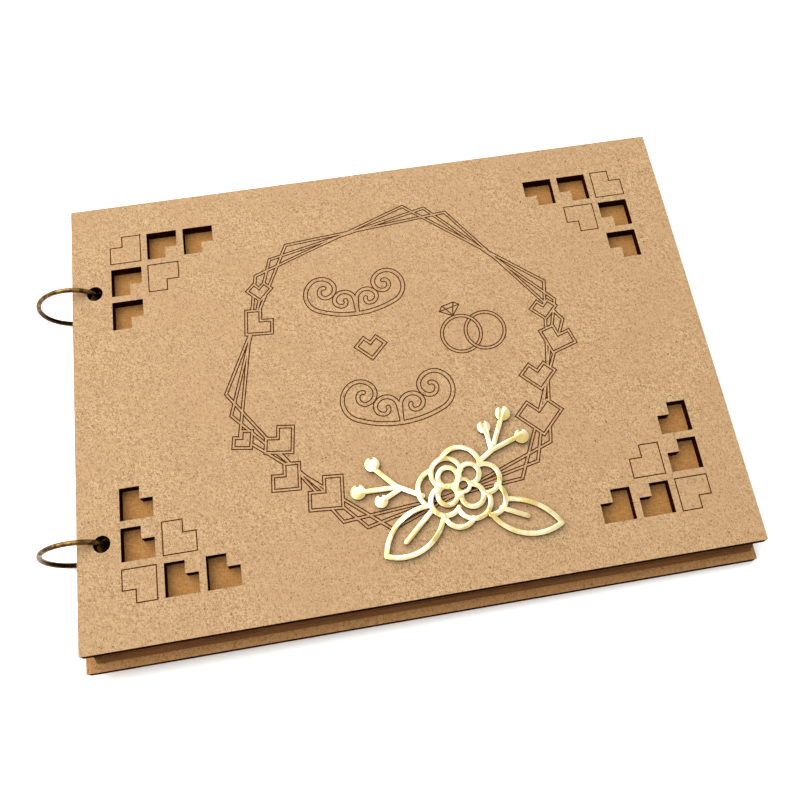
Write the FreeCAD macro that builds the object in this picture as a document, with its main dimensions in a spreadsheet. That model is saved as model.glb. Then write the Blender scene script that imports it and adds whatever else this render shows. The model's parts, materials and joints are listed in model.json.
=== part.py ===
import FreeCAD, Part
import Sketcher
import math
import os

# Wedding guest book: two board covers and loose card leaves held by two hinged binder rings.
# Frame: +X runs from the rings to the fore edge, +Y to the head of the cover, +Z up.
# Origin: centre of the overall box in X and Y, at its lowest point. Millimetres and degrees.

V = FreeCAD.Vector
UP = V(0, 0, 1)

DIMENSIONS = {
    "cover_length": 250,         # along X
    "cover_width": 180,          # along Y
    "board_thickness": 5,
    "cover_corner_radius": 0.4,
    "cover_stagger": 2.2,        # each cover lies this far off centre along Y, front +, back -
    "back_shift": 1.3,           # the back cover lies this far nearer to the rings than the front one
    "ring_hole_radius": 3.15,
    "ring_hole_inset": 9,        # hole centre from the spine edge of a cover
    "ring_spacing": 102.1,
    "ring_shift": 1.2,           # of both rings, towards the head
    "ring_radius": 13.5,         # centre line of the ring's wire
    "ring_lean": 5,              # the rings' tops lean this far towards +Y
    "wire_radius": 1,
    "ring_to_cover_hole": 11.23, # from a ring's centre to a cover hole's centre, along X
    "ring_to_leaf_hole": 12.3,   # the same for a leaf
    "leaf_count": 20,
    "leaf_thickness": 0.35,
    "leaf_gap": 0.065,
    "leaf_length": 245,
    "leaf_width": 175,
    "leaf_stagger": 1.6,         # the leaves fan out between the two covers, this far each way
    "leaf_hole_inset": 7.6,
    "leaf_corner_radius": 1,
    "hinge_angle": -62,          # place of a ring's hinge, from +X towards +Z
    "hinge_relief": 1.95,        # wire ends stop this far short of the hinge pin's axis
    "knuckle_radius": 1.7,
    "tongue_thickness": 0.8,
    "cheek_gap": 1.0,            # between the two cheeks of the fork
    "cheek_thickness": 0.7,
    "link_width": 1.8,
    "pin_radius": 0.55,
    "pin_clearance": 0.05,
    "pin_head_radius": 0.95,
    "pin_head_height": 0.25,
    "clasp_angle": 150,          # place of the clasp, the same way round
    "clasp_length": 3.5,
    "clasp_gap": 0.16,
    "flower_thickness": 2,
    "flower_stroke": 1.8,
    "flower_middle_stroke": 1.3, # of the small loop in the middle
    "engraving_depth": 0.3,
    "engraving_line": 0.45,
    "tile_size": 12.3,           # one pixel heart of the corner pattern
    "tile_pitch": 15,
    "tile_notch": 4.85,
    "tile_margin_x": 15.8,
    "tile_margin_y": 15.2,
    "wreath_radius": 68.6,       # corner radius of each hexagon's centre line
    "wreath_band": 1.1,          # between the two lines of each band
    "scroll_band": 1.6,          # between the two lines of a scroll
}

doc = FreeCAD.newDocument("guest_book")
sheet = doc.addObject("Spreadsheet::Sheet", "sizes")
for row, (name, value) in enumerate(DIMENSIONS.items(), start=1):
    sheet.set(f"A{row}", name)
    sheet.set(f"B{row}", str(value))
    sheet.setAlias(f"B{row}", name)
doc.recompute()


def size(name):
    """The value of a driving dimension, as a plain number."""
    return float(sheet.get(name))


LEAF_COUNT = int(size("leaf_count"))
BOARD = size("board_thickness")
LEAF_PITCH = size("leaf_thickness") + size("leaf_gap")
PAGES_HEIGHT = LEAF_COUNT * LEAF_PITCH + size("leaf_gap")
BOOK_HEIGHT = 2 * BOARD + PAGES_HEIGHT
RING_OUTER = size("ring_radius") + size("wire_radius")
SPINE_OVERHANG = RING_OUTER + size("ring_to_cover_hole") - size("ring_hole_inset")
SPINE_X = SPINE_OVERHANG - (size("cover_length") + SPINE_OVERHANG) / 2
RING_X = SPINE_X + size("ring_hole_inset") - size("ring_to_cover_hole")
RING_Z = size("ring_radius") * math.cos(math.radians(size("ring_lean"))) + size("wire_radius")
BACK_Z = RING_Z - BOOK_HEIGHT / 2
FRONT_Z = BACK_Z + BOARD + PAGES_HEIGHT
COVER_CENTRE_X = SPINE_X + size("cover_length") / 2
LEAF_SPINE_X = RING_X + size("ring_to_leaf_hole") - size("leaf_hole_inset")
LEAF_SLIP = (0.15, 0.35)         # hand-stacked leaves never line up exactly, along X and Y


def bind(thing, **expressions):
    """Tie properties of an object to formulas of the sheet's names."""
    for prop, expression in expressions.items():
        for alias in sorted(DIMENSIONS, key=len, reverse=True):
            expression = expression.replace("{" + alias + "}", "sizes." + alias)
        thing.setExpression(prop, expression)
    return thing


# ---------------------------------------------------------------- flat sheets: covers and leaves

def plane(body, role):
    """One of a body's own origin planes."""
    return next(item for item in body.Origin.OriginFeatures if item.Role == role)


def sketch_on_base(body, name):
    sketch = body.newObject("Sketcher::SketchObject", name)
    sketch.AttachmentSupport = (plane(body, "XY_Plane"), [""])
    sketch.MapMode = "FlatFace"
    return sketch


def add_rectangle(sketch, length, width):
    """A rectangle from the spine edge at x = 0, centred on the X axis, sized by two formulas."""
    corners = [V(0, -50, 0), V(100, -50, 0), V(100, 50, 0), V(0, 50, 0)]
    for start, end in zip(corners, corners[1:] + corners[:1]):
        sketch.addGeometry(Part.LineSegment(start, end), False)
    for side in range(4):
        sketch.addConstraint(Sketcher.Constraint("Coincident", side, 2, (side + 1) % 4, 1))
    sketch.addConstraint(Sketcher.Constraint("Horizontal", 0))
    sketch.addConstraint(Sketcher.Constraint("Vertical", 1))
    sketch.addConstraint(Sketcher.Constraint("Horizontal", 2))
    sketch.addConstraint(Sketcher.Constraint("Symmetric", 0, 1, 3, 1, -1))
    sketch.addConstraint(Sketcher.Constraint("PointOnObject", 0, 1, -2))
    long_side = sketch.addConstraint(Sketcher.Constraint("DistanceX", 0, 1, 0, 2, 100))
    short_side = sketch.addConstraint(Sketcher.Constraint("DistanceY", 1, 1, 1, 2, 100))
    bind(sketch, **{f"Constraints[{long_side}]": length, f"Constraints[{short_side}]": width})


def add_ring_holes(sketch, inset, stagger):
    """Two round holes, one for each ring; stagger is a formula for the sheet's own shift in Y."""
    for side in (1, -1):
        hole = sketch.addGeometry(Part.Circle(V(10, side * 40, 0), UP, 2), False)
        radius = sketch.addConstraint(Sketcher.Constraint("Radius", hole, 2))
        across = sketch.addConstraint(Sketcher.Constraint("DistanceX", -1, 1, hole, 3, 10))
        along = sketch.addConstraint(Sketcher.Constraint("DistanceY", -1, 1, hole, 3, side * 40))
        bind(sketch, **{
            f"Constraints[{radius}]": "{ring_hole_radius}",
            f"Constraints[{across}]": inset,
            f"Constraints[{along}]": f"{side} * {{ring_spacing}} / 2 + {{ring_shift}} - ({stagger})",
        })


def upright_edges(shape):
    """Names of the straight edges that run along Z."""
    names = []
    for number, edge in enumerate(shape.Edges, start=1):
        first, last = edge.Vertexes[0].Point, edge.Vertexes[-1].Point
        if abs(last.z - first.z) > 0.9 * edge.Length:
            names.append(f"Edge{number}")
    return names


def flat_sheet(name, length, width, thickness, corner, inset, stagger="0"):
    """A punched sheet: a padded rectangle with round corners and the two ring holes pocketed through it."""
    body = doc.addObject("PartDesign::Body", name)
    outline = sketch_on_base(body, name + "_outline")
    add_rectangle(outline, length, width)
    pad = body.newObject("PartDesign::Pad", name + "_pad")
    pad.Profile = outline
    bind(pad, Length=thickness)
    doc.recompute()
    corners = body.newObject("PartDesign::Fillet", name + "_corners")
    corners.Base = (pad, upright_edges(pad.Shape))
    bind(corners, Radius=corner)
    holes = sketch_on_base(body, name + "_holes")
    add_ring_holes(holes, inset, stagger)
    pocket = body.newObject("PartDesign::Pocket", name + "_punch")
    pocket.Profile = holes
    pocket.Type = "ThroughAll"
    pocket.Reversed = True
    return body


def require_cut(body, thickness):
    """Stop if the two ring holes were not cut."""
    doc.recompute()
    expected = 2 * math.pi * size("ring_hole_radius") ** 2 * thickness
    removed = body.Tip.BaseFeature.Shape.Volume - body.Tip.Shape.Volume
    if abs(removed - expected) > 0.02 * expected:
        raise RuntimeError(f"{body.Label}: the holes remove {removed:.2f} instead of {expected:.2f}")


# ---------------------------------------------------------------- line work, as thin prisms

def prism(points, depth):
    wire = Part.makePolygon([V(x, y, 0) for x, y in points + points[:1]])
    return Part.Face(wire).extrude(V(0, 0, depth))


def regular_polygon(centre, sides, radius, start_angle, depth):
    points = []
    for corner in range(sides):
        angle = math.radians(start_angle + 360 * corner / sides)
        points.append((centre[0] + radius * math.cos(angle), centre[1] + radius * math.sin(angle)))
    return prism(points, depth)


def disc(centre, radius, depth):
    return Part.makeCylinder(radius, depth, V(centre[0], centre[1], 0))


def pixel_heart(centre, side, notch, angle, grow, depth):
    """A square with a square notch in one corner, grown outwards; the notch points to angle + 45."""
    half = side / 2 + grow
    inner = half - notch
    outline = [(-half, -half), (half, -half), (half, inner), (inner, inner), (inner, half), (-half, half)]
    turn = math.radians(angle)
    points = [(centre[0] + x * math.cos(turn) - y * math.sin(turn),
               centre[1] + x * math.sin(turn) + y * math.cos(turn)) for x, y in outline]
    return prism(points, depth)


def stroke(start, end, half_width, depth):
    """A straight stroke with square ends."""
    along = V(end[0] - start[0], end[1] - start[1], 0)
    across = V(-along.y, along.x, 0).normalize() * half_width
    first = V(start[0], start[1], 0)
    last = V(end[0], end[1], 0)
    corners = [first - across, last - across, last + across, first + across]
    return prism([(corner.x, corner.y) for corner in corners], depth)


def arc_band(centre, radius, first_angle, sweep, half_width, depth):
    """A stroke along an arc, counter-clockwise from first_angle, with square ends."""
    outer = Part.makeCylinder(radius + half_width, depth, V(0, 0, 0), UP, sweep)
    inner = Part.makeCylinder(radius - half_width, 3 * depth, V(0, 0, -depth), UP)
    band = outer.cut(inner)
    band.rotate(V(0, 0, 0), UP, first_angle)
    band.translate(V(centre[0], centre[1], 0))
    return band


def three_point_arc(start, middle, end, half_width, depth):
    """A stroke along the arc through three points, with round ends."""
    arc = Part.Arc(V(start[0], start[1], 0), V(middle[0], middle[1], 0), V(end[0], end[1], 0))
    circle = arc.toShape().Curve
    centre = circle.Center
    turns_left = circle.Axis.z > 0
    first = start if turns_left else end
    last = end if turns_left else start
    first_angle = math.degrees(math.atan2(first[1] - centre.y, first[0] - centre.x))
    last_angle = math.degrees(math.atan2(last[1] - centre.y, last[0] - centre.x))
    sweep = (last_angle - first_angle) % 360
    band = arc_band((centre.x, centre.y), circle.Radius, first_angle, sweep, half_width, depth)
    return [band, disc(start, half_width, depth), disc(end, half_width, depth)]


def ribbon(start, heading, turns, half_width, depth, mirror=1):
    """A stroke that leaves start at a heading and turns left by tangent arcs of (radius, sweep)."""
    pieces = [disc(start, half_width, depth)]
    x, y = start
    for radius, sweep in turns:
        side = 1 if sweep > 0 else -1
        normal = math.radians(heading + 90 * side)
        centre = (x + radius * math.cos(normal), y + radius * math.sin(normal))
        from_centre = heading - 90 * side
        first = from_centre if sweep > 0 else from_centre + sweep
        pieces.append(arc_band(centre, radius, first, abs(sweep), half_width, depth))
        end = math.radians(from_centre + sweep)
        x = centre[0] + radius * math.cos(end)
        y = centre[1] + radius * math.sin(end)
        heading += sweep
    pieces.append(disc((x, y), half_width, depth))
    if mirror < 0:
        pieces = [piece.mirror(V(0, 0, 0), V(1, 0, 0)) for piece in pieces]
    return pieces


def fused(pieces):
    return pieces[0].multiFuse(pieces[1:]) if len(pieces) > 1 else pieces[0]


def moved(shape, x, y, z=0):
    placed = shape.copy()
    placed.translate(V(x, y, z))
    return placed


# ---------------------------------------------------------------- artwork of the front cover

# Wreath hearts: centre, side, direction of the heart's notch. Centres are from the cover's middle.
WREATH_CENTRE = (1.45, 3.6)
WREATH_TURNS = (4.4, 12.1, 19.8)
WREATH_HEARTS = [
    ((-50.0, 41.3), 5.8, 45), ((-51.4, 27.0), 9.2, -4.5), ((-62.1, -20.9), 5.6, 81),
    ((-48.4, -23.2), 9.1, 82.5), ((-47.3, -38.0), 8.8, 86), ((-33.3, -46.5), 11.1, 85.7),
    ((63.2, 15.2), 6.2, 45), ((66.2, 1.6), 9.3, 17.5), ((55.0, -12.3), 8.6, 45),
    ((52.1, -28.6), 11.4, 45),
]


def wreath(depth):
    """Three turned hexagons as double lines, passing behind ten pixel hearts."""
    line = size("engraving_line") / 2
    band = size("wreath_band")

    def region(grow):
        reach = (band / 2 + grow) / math.cos(math.radians(30))
        bands = []
        for turn in WREATH_TURNS:
            outer = regular_polygon(WREATH_CENTRE, 6, size("wreath_radius") + reach, turn, depth)
            inner = regular_polygon(WREATH_CENTRE, 6, size("wreath_radius") - reach, turn, depth)
            bands.append(outer.cut(inner))
        hearts = []
        hollows = []
        for centre, side, angle in WREATH_HEARTS:
            hearts.append(pixel_heart(centre, side, side / 2, angle, band + grow, depth))
            hollows.append(pixel_heart(centre, side, side / 2, angle, -grow, depth))
        return fused(bands + hearts).cut(fused(hollows))

    return region(line).cut(region(-line))


RING_MOTIF_CENTRES = ((28.2, 9.1), (37.9, 9.2))
RING_MOTIF_RADIUS = 7.85
RING_MOTIF_BAND = 1.2
GEM_TILT = 13.6
GEM_OUTLINE = [(-2.6, 5.6), (2.6, 5.6), (4.3, 3.8), (0, 0), (-4.3, 3.8)]
GEM_FACETS = [
    ((-4.3, 3.8), (4.3, 3.8)), ((-1.5, 3.8), (-2.6, 5.6)), ((-1.5, 3.8), (0, 0)),
    ((1.5, 3.8), (2.6, 5.6)), ((1.5, 3.8), (0, 0)),
]


def wedding_rings(depth):
    """Two interlaced finger rings, the left one with a cut stone."""
    line = size("engraving_line") / 2
    half = RING_MOTIF_BAND / 2
    reach = 2 * RING_MOTIF_RADIUS

    def hoop(centre, grow):
        outer = disc(centre, RING_MOTIF_RADIUS + half + grow, depth)
        return outer.cut(disc(centre, RING_MOTIF_RADIUS - half - grow, depth))

    left, right = RING_MOTIF_CENTRES
    corner_x = left[0] - reach
    lower = Part.makeBox(3 * reach, reach, depth, V(corner_x, left[1] - reach, 0))
    upper = Part.makeBox(3 * reach, reach, depth, V(corner_x, left[1], 0))
    left_lines = hoop(left, line).cut(hoop(left, -line)).cut(hoop(right, -line).common(lower))
    right_lines = hoop(right, line).cut(hoop(right, -line)).cut(hoop(left, -line).common(upper))
    edges = list(zip(GEM_OUTLINE, GEM_OUTLINE[1:] + GEM_OUTLINE[:1]))
    gem = [stroke(start, end, line, depth) for start, end in edges + GEM_FACETS]
    gem += [disc(corner, line, depth) for corner in GEM_OUTLINE]
    gem = fused(gem)
    gem.translate(V(0, RING_MOTIF_RADIUS + half, 0))
    gem.rotate(V(0, 0, 0), UP, GEM_TILT)
    gem.translate(V(left[0], left[1], 0))
    return fused([left_lines, right_lines, gem])


# One side of a scroll, from the foot of its stem: heading, then (radius, sweep) of each arc.
SCROLL_ARMS = [
    (0, [(40, 25), (8.4, 115), (6.3, 100), (4.4, 110), (2.8, 130), (1.7, 80)]),
    (90, [(60, -7), (4.6, -140), (3.1, -130), (1.8, -110)]),
]
# Place of each scroll's foot from the cover's middle, and its scale.
SCROLLS = [((-11.7, 24.5), 0.92), ((-1.0, -24.0), 1.0)]
MIDDLE_HEART = ((-8.5, 10.0), 7, 3.5, 45)    # centre, side, notch, direction of the notch
MIDDLE_HEART_BAND = 1.2


def scroll(foot, scale, depth):
    """A left-right symmetric scroll ornament in double line."""
    line = size("engraving_line") / 2

    def region(grow):
        pieces = []
        for heading, turns in SCROLL_ARMS:
            arcs = [(radius * scale, sweep) for radius, sweep in turns]
            for mirror in (1, -1):
                pieces += ribbon((0, 0), heading, arcs, size("scroll_band") / 2 + grow, depth, mirror)
        return fused(pieces)

    return moved(region(line).cut(region(-line)), foot[0], foot[1])


def middle_heart(depth):
    """A pixel heart between the scrolls, in double line."""
    line = size("engraving_line") / 2
    lines = []
    for edge in (0, MIDDLE_HEART_BAND):
        outer = pixel_heart(*MIDDLE_HEART, edge + line, depth)
        lines.append(outer.cut(pixel_heart(*MIDDLE_HEART, edge - line, depth)))
    return lines


def corner_tiles():
    """Every tile of the corner pattern: (centre, angle of the notch, whether it is cut through)."""
    tiles = []
    for side_x in (-1, 1):
        for side_y in (-1, 1):
            for column, row, through in (
                (0, 0, False), (1, 1, False), (1, 0, True), (2, 0, True), (0, 1, True), (0, 2, True),
            ):
                inset_x = size("tile_margin_x") + size("tile_size") / 2 + column * size("tile_pitch")
                inset_y = size("tile_margin_y") + size("tile_size") / 2 + row * size("tile_pitch")
                centre = (side_x * (size("cover_length") / 2 - inset_x),
                          side_y * (size("cover_width") / 2 - inset_y))
                outward = -1 if (column, row) == (0, 0) else 1
                notch_angle = math.degrees(math.atan2(-side_y * outward, -side_x * outward)) - 45
                tiles.append((centre, notch_angle, through))
    return tiles


def cover_artwork():
    """All that the laser takes out of the front cover, around the middle of its top face at z = 0."""
    depth = size("engraving_depth")
    line = size("engraving_line") / 2
    tile = (size("tile_size"), size("tile_notch"))
    lines = [wreath(depth), wedding_rings(depth)] + middle_heart(depth)
    lines += [scroll(foot, scale, depth) for foot, scale in SCROLLS]
    through = []
    for centre, angle, is_cut in corner_tiles():
        if is_cut:
            through.append(moved(pixel_heart(centre, *tile, angle, 0, BOARD + 2), 0, 0, -BOARD - 1))
        else:
            grown = pixel_heart(centre, *tile, angle, line, depth)
            lines.append(grown.cut(pixel_heart(centre, *tile, angle, -line, depth)))
    engraved = [moved(shape, 0, 0, -depth) for shape in lines]
    return Part.makeCompound(engraved + through)


# ---------------------------------------------------------------- gold flower

# Strokes are three-point arcs, from the middle of the flower head.
PETALS = [
    ((-9.6, 1.5), (-9.5, 9.7), (0.2, 6.2)), ((7.2, 6.8), (13.9, 2.5), (8.2, -4.2)),
    ((-8.8, 0.7), (-13.0, -5.5), (-3.0, -7.8)), ((-3.3, -8.5), (3.7, -12.8), (9.0, -5.5)),
    ((-6.6, 11.2), (0.7, 14.8), (7.5, 7.5)), ((-14.8, -5.0), (-16.9, 2.0), (-11.5, 7.4)),
    ((12.4, -1.8), (14.8, -6.5), (8.2, -12.4)), ((-8.5, -11.3), (-3.3, -15.2), (1.7, -12.6)),
]
PETAL_LOOPS = [((-5.2, 4.0), 3.7), ((2.9, 4.1), 3.8), ((-6.4, -2.8), 3.6), ((2.8, -4.2), 4.2)]
MIDDLE_LOOP_RADIUS = 2.45
LEAF_EDGES = [
    ((-13.5, -5.5), (-25.8, -9.8), (-32.0, -21.2)), ((-9.6, -11.3), (-17.3, -20.4), (-32.0, -21.2)),
    ((14.6, -7.6), (26.2, -11.6), (33.4, -19.5)), ((8.5, -12.4), (17.2, -20.3), (33.4, -19.5)),
]
STEMS = [
    ((-13.6, -7.8), (-24.1, -17.2)), ((12.6, -10.6), (21.5, -15.0)),
    ((-15.6, -1.4), (-24.8, 3.7)), ((-24.8, 3.7), (-31.3, 11.0)), ((-24.0, 3.3), (-36.8, 3.6)),
    ((-23.0, 2.7), (-28.8, 0.0)),
    ((7.4, 8.0), (13.2, 11.7)), ((12.9, 11.6), (12.4, 19.0)), ((13.2, 11.7), (18.8, 23.0)),
    ((13.2, 11.7), (23.2, 15.0)),
]
BERRIES = [((-32.5, 13.4), 2.8), ((-39.0, 3.8), 2.8), ((-31.0, -1.0), 2.45),
           ((11.8, 21.0), 2.5), ((20.0, 25.3), 2.9), ((25.4, 15.2), 2.8)]
FLOWER_PLACE = (17.6, -52.5)     # of the flower head, from the middle of the cover
BERRY_NOTCH = 0.7


def gold_flower():
    """One sheet cut to a line drawing: a flower head, two leaves and two sprigs of berries."""
    depth = size("flower_thickness")
    half = size("flower_stroke") / 2
    pieces = []
    for arc in PETALS + LEAF_EDGES:
        pieces += three_point_arc(*arc, half, depth)
    for centre, radius in PETAL_LOOPS:
        pieces.append(disc(centre, radius + half, depth).cut(disc(centre, radius - half, depth)))
    middle_half = size("flower_middle_stroke") / 2
    petals = fused(pieces).cut(disc((0, 0), MIDDLE_LOOP_RADIUS, depth))
    middle = disc((0, 0), MIDDLE_LOOP_RADIUS + middle_half, depth)
    pieces = [petals, middle.cut(disc((0, 0), MIDDLE_LOOP_RADIUS - middle_half, depth))]
    for start, end in STEMS:
        pieces += [stroke(start, end, half, depth), disc(start, half, depth), disc(end, half, depth)]
    notches = []
    for centre, radius in BERRIES:
        pieces.append(disc(centre, radius, depth))
        notches.append(disc((centre[0], centre[1] + radius - BERRY_NOTCH / 3), BERRY_NOTCH, depth))
    return fused(pieces).cut(fused(notches)).removeSplitter()


# ---------------------------------------------------------------- binder rings

CLASP_ANGLE = size("clasp_angle")
RELIEF_TURN = math.degrees(size("hinge_relief") / size("ring_radius"))
CLASP_TURN = math.degrees(size("clasp_length") / 2 / size("ring_radius"))
EDGE = 3.0                       # how far the cutting boxes reach past the wire
LINK_OVERLAP = 0.4               # of a lug's link into its wire


def wire_arc(name, first_angle, last_angle):
    """Part of the ring's wire, in the ring's own plane: X to the leaves, Y up."""
    arc = doc.addObject("Part::Torus", name)
    bind(arc, Radius1="{ring_radius}", Radius2="{wire_radius}")
    arc.Angle3 = last_angle - first_angle
    arc.Placement.Rotation = FreeCAD.Rotation(UP, first_angle)
    return arc


def at_ring_angle(thing, angle, along, radial, height):
    """Place a box or cylinder at an angle of the ring: along the wire, outwards, and in height."""
    turn = FreeCAD.Rotation(UP, angle)
    base = turn.multVec(V(size("ring_radius") + radial, along, height))
    thing.Placement = FreeCAD.Placement(base, turn)
    return thing


def box(name, radial, along, height):
    block = doc.addObject("Part::Box", name)
    block.Length = radial
    block.Width = along
    block.Height = height
    return block


def boolean(kind, name, base, tool):
    result = doc.addObject("Part::" + kind, name)
    result.Base = base
    result.Tool = tool
    return result


def union(name, shapes):
    result = doc.addObject("Part::MultiFuse", name)
    result.Shapes = shapes
    return result


def knuckle(name, direction, levels, hole_radius):
    """Flat lugs round the hinge pin, each joined to the wire on one side: (bottom, thickness)."""
    lugs = []
    holes = []
    angle = size("hinge_angle")
    for index, (bottom, thickness) in enumerate(levels):
        lug = doc.addObject("Part::Cylinder", f"{name}_lug_{index}")
        bind(lug, Radius="{knuckle_radius}")
        lug.Height = thickness
        at_ring_angle(lug, angle, 0, 0, bottom)
        reach = size("hinge_relief") + LINK_OVERLAP
        link = box(f"{name}_link_{index}", size("link_width"), reach, thickness)
        start = 0 if direction > 0 else -reach
        at_ring_angle(link, angle, start, -size("link_width") / 2, bottom)
        hole = doc.addObject("Part::Cylinder", f"{name}_hole_{index}")
        hole.Radius = hole_radius
        hole.Height = thickness + 2
        at_ring_angle(hole, angle, 0, 0, bottom - 1)
        lugs += [lug, link]
        holes.append(hole)
    return lugs, union(name + "_holes", holes) if len(holes) > 1 else holes[0]


def ring_half(name, inner):
    """One half of a ring: the inner one carries the fork and pin, the outer one the tongue."""
    hinge = size("hinge_angle")
    if inner:
        first, last = hinge + RELIEF_TURN, CLASP_ANGLE + CLASP_TURN
        gap = size("cheek_gap") / 2
        cheek = size("cheek_thickness")
        levels = [(gap, cheek), (-gap - cheek, cheek)]
        hole_radius = size("pin_radius")
    else:
        first, last = CLASP_ANGLE - CLASP_TURN, hinge + 360 - RELIEF_TURN
        levels = [(-size("tongue_thickness") / 2, size("tongue_thickness"))]
        hole_radius = size("pin_radius") + size("pin_clearance")
    wire = wire_arc(name + "_wire", first, last)
    lugs, holes = knuckle(name, 1 if inner else -1, levels, hole_radius)
    solid = boolean("Cut", name + "_drilled", union(name + "_joined", [wire] + lugs), holes)
    # the clasp: each end loses the half of its section that the other end fills
    gap = size("clasp_gap")
    lap = size("clasp_length") / 2 + gap
    relief = box(name + "_lap", 2 * EDGE, lap + EDGE, EDGE)
    along = -lap if inner else -EDGE
    height = -EDGE + gap / 2 if inner else -gap / 2
    at_ring_angle(relief, CLASP_ANGLE, along, -EDGE, height)
    return boolean("Cut", name, solid, relief)


def hinge_pin(name):
    """The rivet through the fork, with a flat head on each side."""
    reach = size("cheek_gap") / 2 + size("cheek_thickness")
    shank = doc.addObject("Part::Cylinder", name + "_shank")
    bind(shank, Radius="{pin_radius}", Height="2 * ({cheek_gap} / 2 + {cheek_thickness})")
    at_ring_angle(shank, size("hinge_angle"), 0, 0, -reach)
    parts = [shank]
    for side, bottom in (("top", reach), ("bottom", -reach - size("pin_head_height"))):
        head = doc.addObject("Part::Cylinder", f"{name}_{side}_head")
        bind(head, Radius="{pin_head_radius}", Height="{pin_head_height}")
        parts.append(at_ring_angle(head, size("hinge_angle"), 0, 0, bottom))
    return union(name, parts)


# ---------------------------------------------------------------- assembly

nodes = []


def keep(thing, name, x, y, z, rotation=FreeCAD.Rotation()):
    """Name a finished sub-part and put it in its place."""
    thing.Label = name
    thing.Placement = FreeCAD.Placement(V(x, y, z), rotation)
    nodes.append(thing)


stagger = size("cover_stagger")
back = flat_sheet("back_board", "{cover_length}", "{cover_width}", "{board_thickness}",
                  "{cover_corner_radius}", "{ring_hole_inset} + {back_shift}", "-{cover_stagger}")
require_cut(back, BOARD)
keep(back, "back_cover", SPINE_X - size("back_shift"), -stagger, BACK_Z)

for number in range(1, LEAF_COUNT + 1):
    fan = (2 * number - LEAF_COUNT - 1) / LEAF_COUNT
    leaf = flat_sheet(f"sheet_{number:02d}", "{leaf_length}", "{leaf_width}", "{leaf_thickness}",
                      "{leaf_corner_radius}", "{leaf_hole_inset}", f"{fan:.3f} * {{leaf_stagger}}")
    slip_x = LEAF_SLIP[0] * math.cos(1.7 * number)
    slip_y = LEAF_SLIP[1] * math.sin(2.4 * number)
    leaf_z = BACK_Z + BOARD + size("leaf_gap") + (number - 1) * LEAF_PITCH
    keep(leaf, f"leaf_{number:02d}", LEAF_SPINE_X + slip_x, fan * size("leaf_stagger") + slip_y, leaf_z)
require_cut(leaf, size("leaf_thickness"))

front = flat_sheet("front_board", "{cover_length}", "{cover_width}", "{board_thickness}",
                   "{cover_corner_radius}", "{ring_hole_inset}", "{cover_stagger}")
require_cut(front, BOARD)
artwork = doc.addObject("Part::Feature", "cover_artwork")
artwork.Shape = cover_artwork()
artwork.Placement = FreeCAD.Placement(V(size("cover_length") / 2, 0, BOARD), FreeCAD.Rotation())
keep(boolean("Cut", "engraved_board", front, artwork), "front_cover", SPINE_X, stagger, FRONT_Z)

flower = doc.addObject("Part::Feature", "flower_sheet")
flower.Shape = gold_flower()
keep(flower, "gold_flower", COVER_CENTRE_X + FLOWER_PLACE[0], stagger + FLOWER_PLACE[1], FRONT_Z + BOARD)

upright = FreeCAD.Rotation(V(1, 0, 0), 90 - size("ring_lean"))
for side, place in (("head", 1), ("tail", -1)):
    y = place * size("ring_spacing") / 2 + size("ring_shift")
    keep(ring_half(f"{side}_inner", True), f"{side}_ring_inner_half", RING_X, y, RING_Z, upright)
    keep(ring_half(f"{side}_outer", False), f"{side}_ring_outer_half", RING_X, y, RING_Z, upright)
    keep(hinge_pin(f"{side}_pin"), f"{side}_ring_hinge_pin", RING_X, y, RING_Z, upright)

doc.recompute()
for item in doc.Objects:
    if "Invalid" in item.State or "Error" in item.State:
        raise RuntimeError(f"{item.Name} failed: {item.State}")
for node in nodes:
    shape = node.Shape
    if shape.isNull() or not shape.isValid() or len(shape.Solids) != 1:
        raise RuntimeError(f"{node.Label}: {len(shape.Solids)} solids, valid {shape.isValid()}")

os.makedirs("parts", exist_ok=True)
for node in nodes:
    node.Shape.exportStep(f"parts/{node.Label}.step")
    bounds = node.Shape.BoundBox
    print(f"{node.Label}: {node.Shape.Volume:.1f} mm3, z {bounds.ZMin:.2f} to {bounds.ZMax:.2f}")
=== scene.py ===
"""Looks of a wedding guest book.

It has laser-cut board covers, kraft card leaves, a gold flower and two binder rings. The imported
model is the fixed frame. Lengths are in metres in that frame, unless a name ends in _mm, and
angles are in degrees.
"""

from __future__ import annotations

import json
import logging
import math
from dataclasses import dataclass
from enum import Enum
from typing import Any, ClassVar

import bpy
from mathutils import Matrix, Vector

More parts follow.
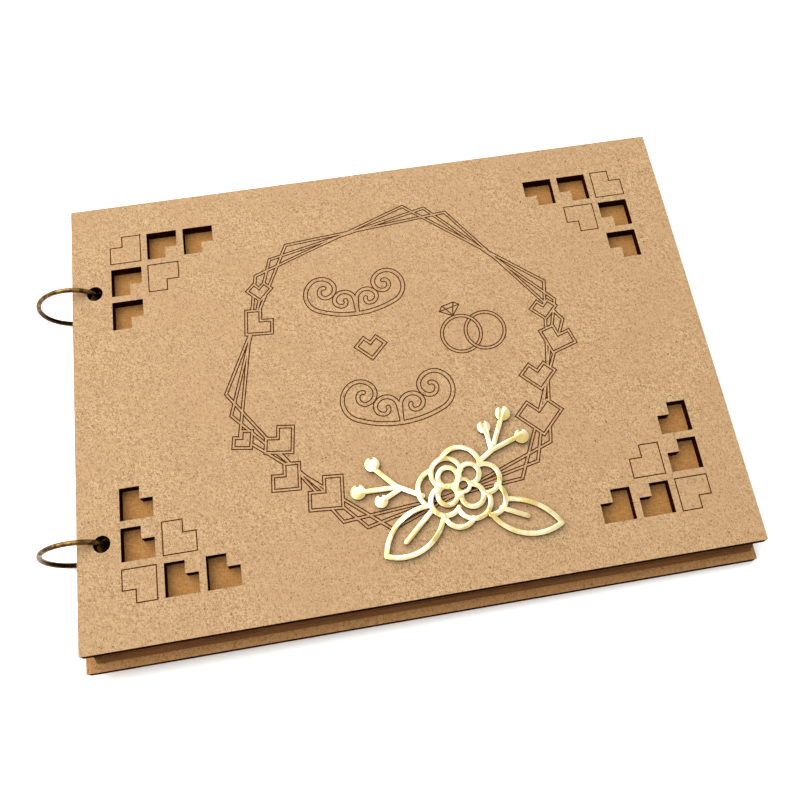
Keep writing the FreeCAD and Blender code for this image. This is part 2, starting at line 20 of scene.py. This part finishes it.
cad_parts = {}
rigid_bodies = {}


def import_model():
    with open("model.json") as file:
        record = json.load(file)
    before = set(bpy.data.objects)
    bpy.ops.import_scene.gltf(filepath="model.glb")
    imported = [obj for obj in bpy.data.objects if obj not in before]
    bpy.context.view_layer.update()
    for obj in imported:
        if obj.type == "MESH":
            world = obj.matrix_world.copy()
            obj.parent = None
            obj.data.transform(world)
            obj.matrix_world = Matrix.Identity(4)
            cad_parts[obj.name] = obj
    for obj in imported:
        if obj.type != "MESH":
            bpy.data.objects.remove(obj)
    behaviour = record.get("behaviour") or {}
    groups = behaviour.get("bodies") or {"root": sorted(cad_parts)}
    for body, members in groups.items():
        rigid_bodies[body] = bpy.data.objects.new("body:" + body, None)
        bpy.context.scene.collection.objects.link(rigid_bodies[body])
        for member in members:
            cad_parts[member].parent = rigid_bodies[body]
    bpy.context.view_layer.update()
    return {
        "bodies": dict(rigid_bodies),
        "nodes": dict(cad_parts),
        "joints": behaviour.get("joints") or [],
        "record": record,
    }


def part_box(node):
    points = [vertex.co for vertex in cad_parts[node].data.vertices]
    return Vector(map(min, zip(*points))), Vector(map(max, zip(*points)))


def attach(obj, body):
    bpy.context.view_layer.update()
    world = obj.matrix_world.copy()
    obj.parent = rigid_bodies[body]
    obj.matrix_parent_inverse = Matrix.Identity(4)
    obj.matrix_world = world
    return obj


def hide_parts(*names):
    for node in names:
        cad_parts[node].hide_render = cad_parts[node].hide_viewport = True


MM = 0.001
MM_PER_M = 1000.0
MERGE_MM = 0.002  # loose triangles of a CAD node meet well within this
FLAT_DEG = 0.5  # faces that turn less than this against each other become one
SHARP_DEG = 50.0  # edges that turn more than this are rounded
BEVEL_SEGMENTS = 2
LOG = logging.getLogger("guest_book")


class Slot(Enum):
    """Material slot names of the record."""

    GOLD = "gold_acrylic"
    BRONZE = "bronze_wire"


# ---------------------------------------------------------------- small helpers


def linear(code: str) -> tuple[float, float, float, float]:
    """Turn an sRGB hex value into linear light.

    Args:
        code: a colour such as "#D6AF81".

    Returns:
        The four channels that a colour socket takes.
    """
    channels = [int(code[i:i + 2], 16) / 255 for i in (1, 3, 5)]
    red, green, blue = (
        c / 12.92 if c <= 0.04045 else ((c + 0.055) / 1.055) ** 2.4 for c in channels
    )
    return (red, green, blue, 1.0)


def add_node(
    tree: bpy.types.NodeTree, kind: str, inputs: dict | None = None, **settings: Any
) -> bpy.types.Node:
    """Add a node with its settings and its inputs.

    Args:
        tree: the node tree that gets the node.
        kind: the node's type name, without "ShaderNode".
        inputs: socket name or number to a value, or to the output socket that feeds it.
        **settings: the node's own properties.

    Returns:
        The new node.
    """
    node = tree.nodes.new("ShaderNode" + kind)
    for name, value in settings.items():
        setattr(node, name, value)
    for key, value in (inputs or {}).items():
        if isinstance(value, bpy.types.NodeSocket):
            tree.links.new(value, node.inputs[key])
        else:
            node.inputs[key].default_value = value
    return node


def new_material(name: str) -> tuple[bpy.types.Material, bpy.types.NodeTree]:
    """Make a material with an empty node tree.

    Args:
        name: the finish's name.

    Returns:
        The material and its tree.
    """
    material = bpy.data.materials.new(name)
    material.use_nodes = True
    material.node_tree.nodes.clear()
    return material, material.node_tree


class Pattern:
    """Builds the patterns of one material on Object coordinates in millimetres."""

    def __init__(self, tree: bpy.types.NodeTree) -> None:
        """Start a pattern in a tree.

        Args:
            tree: the material's node tree.
        """
        self.tree = tree
        place = add_node(tree, "TexCoord")
        scaled = add_node(tree, "VectorMath", {0: place.outputs["Object"], "Scale": MM_PER_M},
                          operation="SCALE")
        self.mm = scaled.outputs[0]
        geometry = add_node(tree, "NewGeometry")
        self.position = add_node(tree, "SeparateXYZ", {0: self.mm})
        self.normal = add_node(tree, "SeparateXYZ", {0: geometry.outputs["Normal"]})

    def math(self, operation: str, *values: Any) -> bpy.types.NodeSocket:
        """Combine numbers.

        Args:
            operation: the Math node's operation.
            *values: numbers or sockets.

        Returns:
            The result's socket.
        """
        node = add_node(self.tree, "Math", dict(enumerate(values)), operation=operation)
        return node.outputs[0]

    def mix(self, share: Any, first: Any, second: Any, kind: str = "MIX") -> bpy.types.NodeSocket:
        """Mix two colours.

        Args:
            share: how much of the second colour shows, a number or a socket.
            first: a linear colour or a socket.
            second: a linear colour or a socket.
            kind: the blend type.

        Returns:
            The mixed colour's socket.
        """
        node = add_node(self.tree, "Mix", data_type="RGBA", blend_type=kind)
        for key, value in ((0, share), (6, first), (7, second)):
            if isinstance(value, bpy.types.NodeSocket):
                self.tree.links.new(value, node.inputs[key])
            else:
                node.inputs[key].default_value = value
        return node.outputs[2]

    def step(self, value: Any, low: float, high: float, out_low: float = 0.0,
             out_high: float = 1.0) -> bpy.types.NodeSocket:
        """Map a range smoothly to another one.

        Args:
            value: the number's socket.
            low: the value that gives out_low.
            high: the value that gives out_high.
            out_low: the result at low.
            out_high: the result at high.

        Returns:
            The mapped number's socket.
        """
        node = add_node(self.tree, "MapRange",
                        {0: value, 1: low, 2: high, 3: out_low, 4: out_high},
                        interpolation_type="SMOOTHSTEP")
        return node.outputs[0]

    def noise(self, size_mm: float, detail: float = 3.0, rough: float = 0.5,
              stretch: tuple[float, float, float] = (1, 1, 1), turn: float = 0.0,
              shift: float = 0.0) -> bpy.types.NodeSocket:
        """Noise with features of a real size.

        Args:
            size_mm: the size of one feature.
            detail: octaves of finer noise.
            rough: how strong the finer octaves are.
            stretch: how many times longer a feature is along each axis.
            turn: turn about Z, in degrees.
            shift: distance along Z that tells one noise from another, in millimetres.

        Returns:
            The noise's socket, from 0 to 1 around 0.5.
        """
        scale = [1.0 / size_mm / s for s in stretch]
        turned = add_node(self.tree, "VectorRotate",
                          {"Vector": self.mm, "Angle": math.radians(turn)},
                          rotation_type="Z_AXIS")
        placed = add_node(self.tree, "Mapping", {"Vector": turned.outputs[0], "Scale": scale,
                                                 "Location": (0.0, 0.0, shift)})
        node = add_node(self.tree, "TexNoise", {"Vector": placed.outputs[0], "Scale": 1.0,
                                                "Detail": detail, "Roughness": rough})
        return node.outputs[0]

    def fibres(self, width_mm: float, length_mm: float,
               turns: tuple[float, ...]) -> bpy.types.NodeSocket:
        """Short fibres that lie in several directions.

        Args:
            width_mm: a fibre's width.
            length_mm: a fibre's length.
            turns: the directions, in degrees.

        Returns:
            The pattern's socket, from 0 to 1 around 0.5.
        """
        share = 1.0 / len(turns)
        total: Any = 0.0
        stretch = (length_mm / width_mm, 1.0, 1.0)
        for index, turn in enumerate(turns):
            layer = self.noise(width_mm, 2.0, 0.55, stretch, turn, 7.3 * (index + 1))
            total = self.math("MULTIPLY_ADD", layer, share, total)
        return total

    def specks(self, spacing_mm: float, radius_mm: float, share: float,
               shift: float) -> bpy.types.NodeSocket:
        """Sparse round specks, no two of one size.

        Args:
            spacing_mm: the mean distance between possible specks.
            radius_mm: the largest speck's radius.
            share: the part of the possible specks that shows.
            shift: distance along Z that tells one pattern from another, in millimetres.

        Returns:
            The pattern's socket: 1 in a speck, 0 elsewhere.
        """
        placed = add_node(self.tree, "Mapping",
                          {"Vector": self.mm, "Location": (0.0, 0.0, shift)})
        cells = add_node(self.tree, "TexVoronoi",
                         {"Vector": placed.outputs[0], "Scale": 1.0 / spacing_mm})
        chance = add_node(self.tree, "SeparateColor", {0: cells.outputs["Color"]})
        reach = self.math("MULTIPLY", chance.outputs[1], radius_mm / spacing_mm)
        inside = self.math("LESS_THAN", cells.outputs["Distance"], reach)
        kept = self.math("LESS_THAN", chance.outputs[0], share)
        return self.math("MULTIPLY", inside, kept)


def finish_shader(pattern: Pattern, colour: Any, roughness: Any, bump: Any = None,
                  bump_mm: float = 0.0, **constants: Any) -> None:
    """End a material in a Principled shader.

    Args:
        pattern: the material's pattern builder.
        colour: a linear colour or a socket.
        roughness: a number or a socket.
        bump: the height's socket, if the surface has relief.
        bump_mm: the height that a change of 1 stands for.
        **constants: numbers for the shader's other sockets, with _ for a space.
    """
    inputs = {"Base Color": colour, "Roughness": roughness}
    inputs.update({key.replace("_", " "): value for key, value in constants.items()})
    shader = add_node(pattern.tree, "BsdfPrincipled", inputs)
    if bump is not None:
        relief = add_node(pattern.tree, "Bump",
                          {"Height": bump, "Distance": bump_mm * MM, "Strength": 1.0})
        pattern.tree.links.new(relief.outputs[0], shader.inputs["Normal"])
    add_node(pattern.tree, "OutputMaterial", {"Surface": shader.outputs[0]})


# ---------------------------------------------------------------- finishes


@dataclass(frozen=True)
class RawFibreboard:
    """Raw MDF, pressed and sanded, cut and scored by laser.

    The eye gets a matt tan face of matted fibres with dark flecks and slow clouds, and
    near-black charred edges.
    """

    name: str = "raw_mdf_laser_cut"
    light: str = "#A68A66"
    dark: str = "#886A47"
    warm: str = "#977755"
    fleck: str = "#432A15"
    score: str = "#321402"
    score_light: str = "#5A2C08"
    char: str = "#190501"
    char_light: str = "#341207"
    fibre_width_mm: float = 0.4
    fibre_length_mm: float = 1.6
    score_depth_mm: float = 0.3

    def build(self, top_mm: float) -> bpy.types.Material:
        """Make the material.

        Args:
            top_mm: the height of the face that may be scored.

        Returns:
            The material.
        """
        material, tree = new_material(self.name)
        p = Pattern(tree)
        fibre = p.fibres(self.fibre_width_mm, self.fibre_length_mm, (12, 68, 121))
        face = p.mix(p.step(fibre, 0.42, 0.58), linear(self.dark), linear(self.light))
        cloud = p.step(p.noise(24, 4.0, 0.6, (1.6, 1, 1), 35), 0.38, 0.62)
        face = p.mix(p.math("MULTIPLY", cloud, 0.55), face, linear(self.warm))
        # bark and resin show as short dark flecks that lie any way
        for turn, shift in ((25, 2.0), (80, 9.0), (140, 17.0)):
            flecks = p.step(p.noise(0.5, 1.0, 0.5, (2.4, 1, 1), turn, shift), 0.66, 0.71)
            face = p.mix(p.math("MULTIPLY", flecks, 0.5), face, linear(self.fleck))
        specks = p.math("MULTIPLY", p.specks(3.4, 0.42, 0.4, 3.1), 0.75)
        face = p.mix(specks, face, linear(self.fleck))
        # the beam leaves upright streaks of soot on every cut wall
        streak = p.step(p.noise(0.5, 2.0, 0.5, (1, 1, 9)), 0.42, 0.66)
        char_and_edge_shade = p.mix(streak, linear(self.char), linear(self.char_light))
        is_wall = p.math("LESS_THAN", p.math("ABSOLUTE", p.normal.outputs[2]), 0.5)
        below_top = p.math("SUBTRACT", top_mm, p.position.outputs[2])
        is_scored = p.math("MULTIPLY", p.math("GREATER_THAN", below_top, self.score_depth_mm * 0.2),
                           p.math("LESS_THAN", below_top, self.score_depth_mm * 1.2))
        score_burn_and_edge_shade = p.mix(p.step(p.noise(0.9, 2.0), 0.35, 0.65), linear(self.score),
                       linear(self.score_light))
        colour = p.mix(is_wall, face, char_and_edge_shade)
        colour = p.mix(is_scored, colour, score_burn_and_edge_shade)
        gloss = p.math("MULTIPLY_ADD", p.math("MAXIMUM", is_wall, is_scored), -0.25, 0.25)
        finish_shader(p, colour, p.step(fibre, 0.3, 0.7, 0.90, 0.76), fibre, 0.10,
                      Specular_IOR_Level=gloss)
        return material


@dataclass(frozen=True)
class KraftCard:
    """Uncoated kraft card: unbleached pulp, matt and brown, with fine short fibres."""

    name: str = "kraft_card"
    light: str = "#9C6F3A"
    dark: str = "#865A29"
    fleck: str = "#5A3616"
    # painted shade: the dark and light colours of the shade at the leaf edges, and the band from
    # the middle where it grows
    score_burn_and_edge_shade: str = "#220F03"
    edge_shade_light: str = "#6A3D12"
    edge_shade_from_mm: float = 83.0
    edge_shade_to_mm: float = 88.5
    tint: float = 1.0

    def build(self) -> bpy.types.Material:
        """Make the material.

        Returns:
            The material.
        """
        material, tree = new_material(self.name)
        p = Pattern(tree)
        fibre = p.fibres(0.4, 2.0, (5, 95))
        colour = p.mix(p.step(fibre, 0.38, 0.62), linear(self.dark), linear(self.light))
        specks = p.math("MULTIPLY", p.specks(2.2, 0.2, 0.35, 5.0), 0.5)
        colour = p.mix(specks, colour, linear(self.fleck))
        colour = p.mix(1.0, colour, (self.tint, self.tint, self.tint, 1.0), "MULTIPLY")
        # painted shade along the long edges of the leaves, where the front cover shades the stack:
        # darkest on the top leaves, lighter lower down, in streaks
        off_middle = p.math("ABSOLUTE", p.position.outputs[1])
        painted_edge_shade = p.step(off_middle, self.edge_shade_from_mm, self.edge_shade_to_mm, 0.0, 0.8)
        streak = p.step(p.noise(2.2, 2.0, 0.6, (12, 1, 0.4)), 0.40, 0.62, -0.25, 0.25)
        deep = p.math("ADD", streak, p.step(p.position.outputs[2], 17.5, 10.5))
        char_and_edge_shade = p.mix(p.step(deep, 0.0, 1.0), linear(self.score_burn_and_edge_shade), linear(self.edge_shade_light))
        colour = p.mix(painted_edge_shade, colour, char_and_edge_shade)
        finish_shader(p, colour, p.step(fibre, 0.3, 0.7, 0.92, 0.80), fibre, 0.04,
                      Specular_IOR_Level=0.3)
        return material


@dataclass(frozen=True)
class GoldMirrorAcrylic:
    """Gold mirror acrylic, extruded sheet cut by laser.

    The face reflects like pale champagne gold with slow ripples, and the cut walls show darker
    amber plastic.
    """

    name: str = "gold_mirror_acrylic"
    mirror: str = "#D4C99C"
    deep: str = "#BDA566"
    wall: str = "#7A5519"

    def build(self) -> bpy.types.Material:
        """Make the material.

        Returns:
            The material.
        """
        material, tree = new_material(self.name)
        p = Pattern(tree)
        face = p.mix(p.step(p.noise(7, 3.0, 0.6), 0.40, 0.62), linear(self.mirror),
                     linear(self.deep))
        is_wall = p.step(p.math("ABSOLUTE", p.normal.outputs[2]), 0.25, 0.6, 1.0, 0.0)
        colour = p.mix(is_wall, face, linear(self.wall))
        rough = p.step(p.noise(1.2), 0.3, 0.7, 0.10, 0.20)
        finish_shader(p, colour, rough, p.noise(3, 2.0, 0.5), 0.05, Metallic=1.0)
        return material


@dataclass(frozen=True)
class PaintedHighlightRim:
    """The melted rim of laser-cut mirror acrylic, with a painted highlight in a bright line."""

    name: str = "acrylic_rim_painted_highlight"
    bright: str = "#FFF9E0"
    amber: str = "#D9B866"

    def build(self) -> bpy.types.Material:
        """Make the material.

        Returns:
            The material.
        """
        material, tree = new_material(self.name)
        p = Pattern(tree)
        # painted highlight: near-white gold, much lighter than the face, with amber patches
        colour = p.mix(p.step(p.noise(5, 2.0, 0.6), 0.45, 0.68), linear(self.bright),
                       linear(self.amber))
        finish_shader(p, colour, p.step(p.noise(0.8), 0.3, 0.7, 0.05, 0.16), p.noise(2, 2.0), 0.02,
                      Metallic=1.0)
        return material


@dataclass(frozen=True)
class AntiqueBronze:
    """Steel wire with antique bronze plating, tumbled.

    The eye gets a dark patina with a painted highlight: brassy patches that fade from the top down.
    """

    name: str = "antique_bronze_wire"
    bright: str = "#7E6034"
    mid: str = "#463019"
    patina: str = "#1A0F08"

    def build(self) -> bpy.types.Material:
        """Make the material.

        Returns:
            The material.
        """
        material, tree = new_material(self.name)
        p = Pattern(tree)
        # painted highlight: brassy patches, full at the top of the ring and faint at its bottom
        painted_top_highlight = p.math("MULTIPLY", p.step(p.noise(2.5, 4.0, 0.6), 0.38, 0.60),
                        p.step(p.position.outputs[2], 10.0, 24.0, 0.1, 1.0))
        colour = p.mix(painted_top_highlight, linear(self.mid), linear(self.bright))
        stain = p.step(p.noise(0.8, 3.0, 0.6, shift=4.0), 0.52, 0.68)
        colour = p.mix(p.math("MULTIPLY", stain, 0.7), colour, linear(self.patina))
        finish_shader(p, colour, p.step(stain, 0.0, 1.0, 0.26, 0.48), p.noise(0.3, 2.0), 0.01,
                      Metallic=1.0)
        return material


@dataclass(frozen=True)
class PalePaper:
    """Seamless photo paper, matt white with the faintest tooth."""

    name: str = "pale_backdrop_paper"
    light: str = "#FBFAF8"
    dark: str = "#F7F6F3"

    def build(self) -> bpy.types.Material:
        """Make the material.

        Returns:
            The material.
        """
        material, tree = new_material(self.name)
        p = Pattern(tree)
        colour = p.mix(p.noise(40), linear(self.dark), linear(self.light))
        finish_shader(p, colour, 0.95, p.noise(1.0), 0.02, Specular_IOR_Level=0.1)
        return material


# ---------------------------------------------------------------- modelling helpers


def select_only(piece: bpy.types.Object) -> None:
    """Make one object the selected and active one.

    Args:
        piece: the object.
    """
    for other in bpy.context.view_layer.objects:
        other.select_set(False)
    piece.select_set(True)
    bpy.context.view_layer.objects.active = piece


def merged_copy(node: bpy.types.Object, name: str) -> bpy.types.Object:
    """Copy a CAD node and join its loose triangles into clean faces.

    Args:
        node: the CAD node.
        name: the copy's name.

    Returns:
        The copy, which is a closed mesh.
    """
    piece = node.copy()
    piece.data = node.data.copy()
    piece.name = name
    piece.parent = None
    for key in list(piece.keys()):
        del piece[key]
    bpy.context.scene.collection.objects.link(piece)
    select_only(piece)
    bpy.ops.mesh.customdata_custom_splitnormals_clear()
    bpy.ops.object.mode_set(mode="EDIT")
    bpy.ops.mesh.select_all(action="SELECT")
    bpy.ops.mesh.remove_doubles(threshold=MERGE_MM * MM)
    bpy.ops.mesh.dissolve_limited(angle_limit=math.radians(FLAT_DEG))
    bpy.ops.object.mode_set(mode="OBJECT")
    return piece


def bevel_edges(piece: bpy.types.Object, width_mm: float, smooth: float, rim: int = -1) -> None:
    """Round the sharp edges of a piece, and shade it smooth.

    Args:
        piece: the piece.
        width_mm: the bevel's width.
        smooth: the angle up to which two faces are shaded as one.
        rim: the material slot of the new faces; -1 keeps that of the faces beside them.
    """
    select_only(piece)
    bevel = piece.modifiers.new("edges", "BEVEL")
    bevel.width = width_mm * MM
    bevel.segments = BEVEL_SEGMENTS
    bevel.limit_method = "ANGLE"
    bevel.angle_limit = math.radians(SHARP_DEG)
    bevel.miter_outer = "MITER_ARC"
    bevel.material = rim
    bpy.ops.object.modifier_apply(modifier=bevel.name)
    select_only(piece)
    bpy.ops.object.shade_smooth_by_angle(angle=math.radians(smooth))


def dress(piece: bpy.types.Object, material: bpy.types.Material) -> None:
    """Give a piece one material all over.

    Args:
        piece: the piece or CAD node.
        material: its finish.
    """
    piece.data.materials.clear()
    piece.data.materials.append(material)


# ---------------------------------------------------------------- sub-assemblies


@dataclass
class Covers:
    """The two board covers; the back one has painted shade, the same board darker and browner."""

    finishes: ClassVar[dict[str, RawFibreboard]] = {
        "front_cover": RawFibreboard(),
        # painted shade: the back board darkened and browned for the front cover's shadow on its
        # strip
        "back_cover": RawFibreboard(name="mdf_laser_cut_painted_shade", light="#A67E4E", dark="#886136",
                                    warm="#976C41"),
    }

    def build(self, frame: dict) -> None:
        """Dress both boards.
        """
        for name, finish in self.finishes.items():
            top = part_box(name)[1].z / MM
            dress(frame["nodes"][name], finish.build(top))
            LOG.info("%s: raw board", name)


@dataclass
class Leaves:
    """The loose card leaves."""

    tints: tuple[float, ...] = (1.0, 0.95, 1.04, 0.98)

    def build(self, frame: dict) -> None:
        """Dress every leaf, each shade in turn.
        """
        shades = [KraftCard(tint=tint).build() for tint in self.tints]
        names = sorted(name for name in frame["nodes"] if name.startswith("leaf_"))
        for index, name in enumerate(names):
            dress(frame["nodes"][name], shades[index % len(shades)])
        LOG.info("%d leaves: kraft card", len(names))


@dataclass
class Flower:
    """The gold flower on the front cover."""

    node: str = "gold_flower"
    rim_mm: float = 0.32
    smooth: float = 50.0

    def build(self, frame: dict) -> None:
        """Model the sheet with softened edges, and dress it.
        """
        piece = merged_copy(frame["nodes"][self.node], "gold_flower_sheet")
        dress(piece, GoldMirrorAcrylic().build())
        # the bevel's faces take the rim's painted highlight
        piece.data.materials.append(PaintedHighlightRim().build())
        bevel_edges(piece, self.rim_mm, self.smooth, rim=1)
        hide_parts(self.node)
        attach(piece, "front_cover")
        LOG.info("%s: %d faces", piece.name, len(piece.data.polygons))


@dataclass
class BinderRings:
    """The two hinged wire rings."""

    sides: tuple[str, ...] = ("head", "tail")
    edge_mm: float = 0.14
    smooth: float = 40.0

    def build(self, frame: dict) -> None:
        """Round the cut ends of the wires, and dress every piece of both rings.
        """
        bronze = AntiqueBronze().build()
        for side in self.sides:
            dress(frame["nodes"][f"{side}_ring_hinge_pin"], bronze)
            self.build_half(frame, f"{side}_ring_inner_half", f"{side}_ring", bronze)
            self.build_half(frame, f"{side}_ring_outer_half", f"{side}_ring_gate", bronze)

    def build_half(self, frame: dict, node: str, body: str,
                   bronze: bpy.types.Material) -> None:
        """Model one half of a ring with its edges rubbed round.

        Args:
            node: the CAD node that it replaces.
            body: the body that it rides on.
            bronze: its finish.
        """
        piece = merged_copy(frame["nodes"][node], f"{node}_wire")
        bevel_edges(piece, self.edge_mm, self.smooth)
        dress(piece, bronze)
        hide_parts(node)
        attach(piece, body)
        LOG.info("%s: %d faces", piece.name, len(piece.data.polygons))


@dataclass
class Studio:
    """Floor, light and camera."""

    floor_size: float = 3.0
    camera_mm: tuple[float, float, float] = (-7.68, -139.28, 386.58)
    target_mm: tuple[float, float, float] = (26.55, 27.94, 23.63)
    roll: float = -2.192
    lens: float = 44.225
    sensor: float = 36.0
    clip_start: float = 0.01
    shift: tuple[float, float] = (-0.0375, -0.125)
    bright_side: tuple[float, float, float] = (-0.30, 0.40, 0.87)
    sky_dark_at: float = -0.4
    sky_bright_at: float = 1.0
    sky_low: float = 0.12
    sky_high: float = 1.7
    key_power: float = 17.0
    key_size: tuple[float, float] = (1.3, 1.1)
    key_place: tuple[float, float, float] = (-0.45, 0.35, 0.95)

    def build(self, frame: dict) -> None:
        """Set up the whole studio.
        """
        self.build_floor(frame)
        self.build_world()
        self.build_key()
        self.build_camera()

    def build_floor(self, frame: dict) -> None:
        """Lay the floor under what carries the book: its rings and the back cover's fore edge.
        """
        halves = [frame["nodes"][f"head_ring_{side}_half"] for side in ("inner", "outer")]
        points = (vertex.co for half in halves for vertex in half.data.vertices)
        low = min(points, key=lambda point: point.z)
        foot = Vector((low.x, 0.0, low.z))
        back_low, back_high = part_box("back_cover")
        fore = Vector((back_high.x, 0.0, back_low.z))
        slope = math.atan2(fore.z - foot.z, fore.x - foot.x)
        bpy.ops.mesh.primitive_plane_add(size=self.floor_size)
        floor = bpy.context.active_object
        floor.name = "floor"
        turn = Matrix.Rotation(-slope, 4, "Y")
        floor.data.transform(Matrix.Translation(foot) @ turn)
        dress(floor, PalePaper().build())

    def build_world(self) -> None:
        """A soft white tent, brightest above and behind the book on its left."""
        world = bpy.data.worlds.new("white_tent")
        bpy.context.scene.world = world
        world.use_nodes = True
        tree = world.node_tree
        tree.nodes.clear()
        place = add_node(tree, "TexCoord")
        toward = add_node(tree, "VectorMath", {0: place.outputs["Generated"], 1: self.bright_side},
                          operation="DOT_PRODUCT")
        bright = add_node(tree, "MapRange", {0: toward.outputs["Value"], 1: self.sky_dark_at,
                                             2: self.sky_bright_at, 3: self.sky_low,
                                             4: self.sky_high})
        light = add_node(tree, "Background",
                         {"Color": (1.0, 1.0, 1.0, 1.0), "Strength": bright.outputs[0]})
        add_node(tree, "OutputWorld", {"Surface": light.outputs[0]})

    def build_key(self) -> None:
        """A large soft box from the upper left."""
        lamp = bpy.data.lights.new("soft_box", "AREA")
        lamp.shape = "RECTANGLE"
        lamp.size, lamp.size_y = self.key_size
        lamp.energy = self.key_power
        holder = bpy.data.objects.new("soft_box", lamp)
        bpy.context.scene.collection.objects.link(holder)
        holder.location = self.key_place
        holder.rotation_euler = (-holder.location).to_track_quat("-Z", "Y").to_euler()

    def build_camera(self) -> None:
        """Place the camera and set plain colour output."""
        data = bpy.data.cameras.new("camera")
        data.lens = self.lens
        data.sensor_width = self.sensor
        data.shift_x, data.shift_y = self.shift
        data.clip_start = self.clip_start
        camera = bpy.data.objects.new("camera", data)
        bpy.context.scene.collection.objects.link(camera)
        place = Vector(self.camera_mm) * MM
        aim = (Vector(self.target_mm) * MM - place).to_track_quat("-Z", "Y").to_matrix().to_4x4()
        roll = Matrix.Rotation(math.radians(-self.roll), 4, "Z")
        camera.matrix_world = Matrix.Translation(place) @ aim @ roll
        bpy.context.scene.camera = camera
        bpy.context.scene.view_settings.view_transform = "Standard"


def main() -> None:
    """Build the book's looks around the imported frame."""
    logging.basicConfig(level=logging.INFO, format="%(name)s: %(message)s")
    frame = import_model()
    Covers().build(frame)
    Leaves().build(frame)
    Flower().build(frame)
    BinderRings().build(frame)
    Studio().build(frame)


if __name__ == "__main__":
    main()
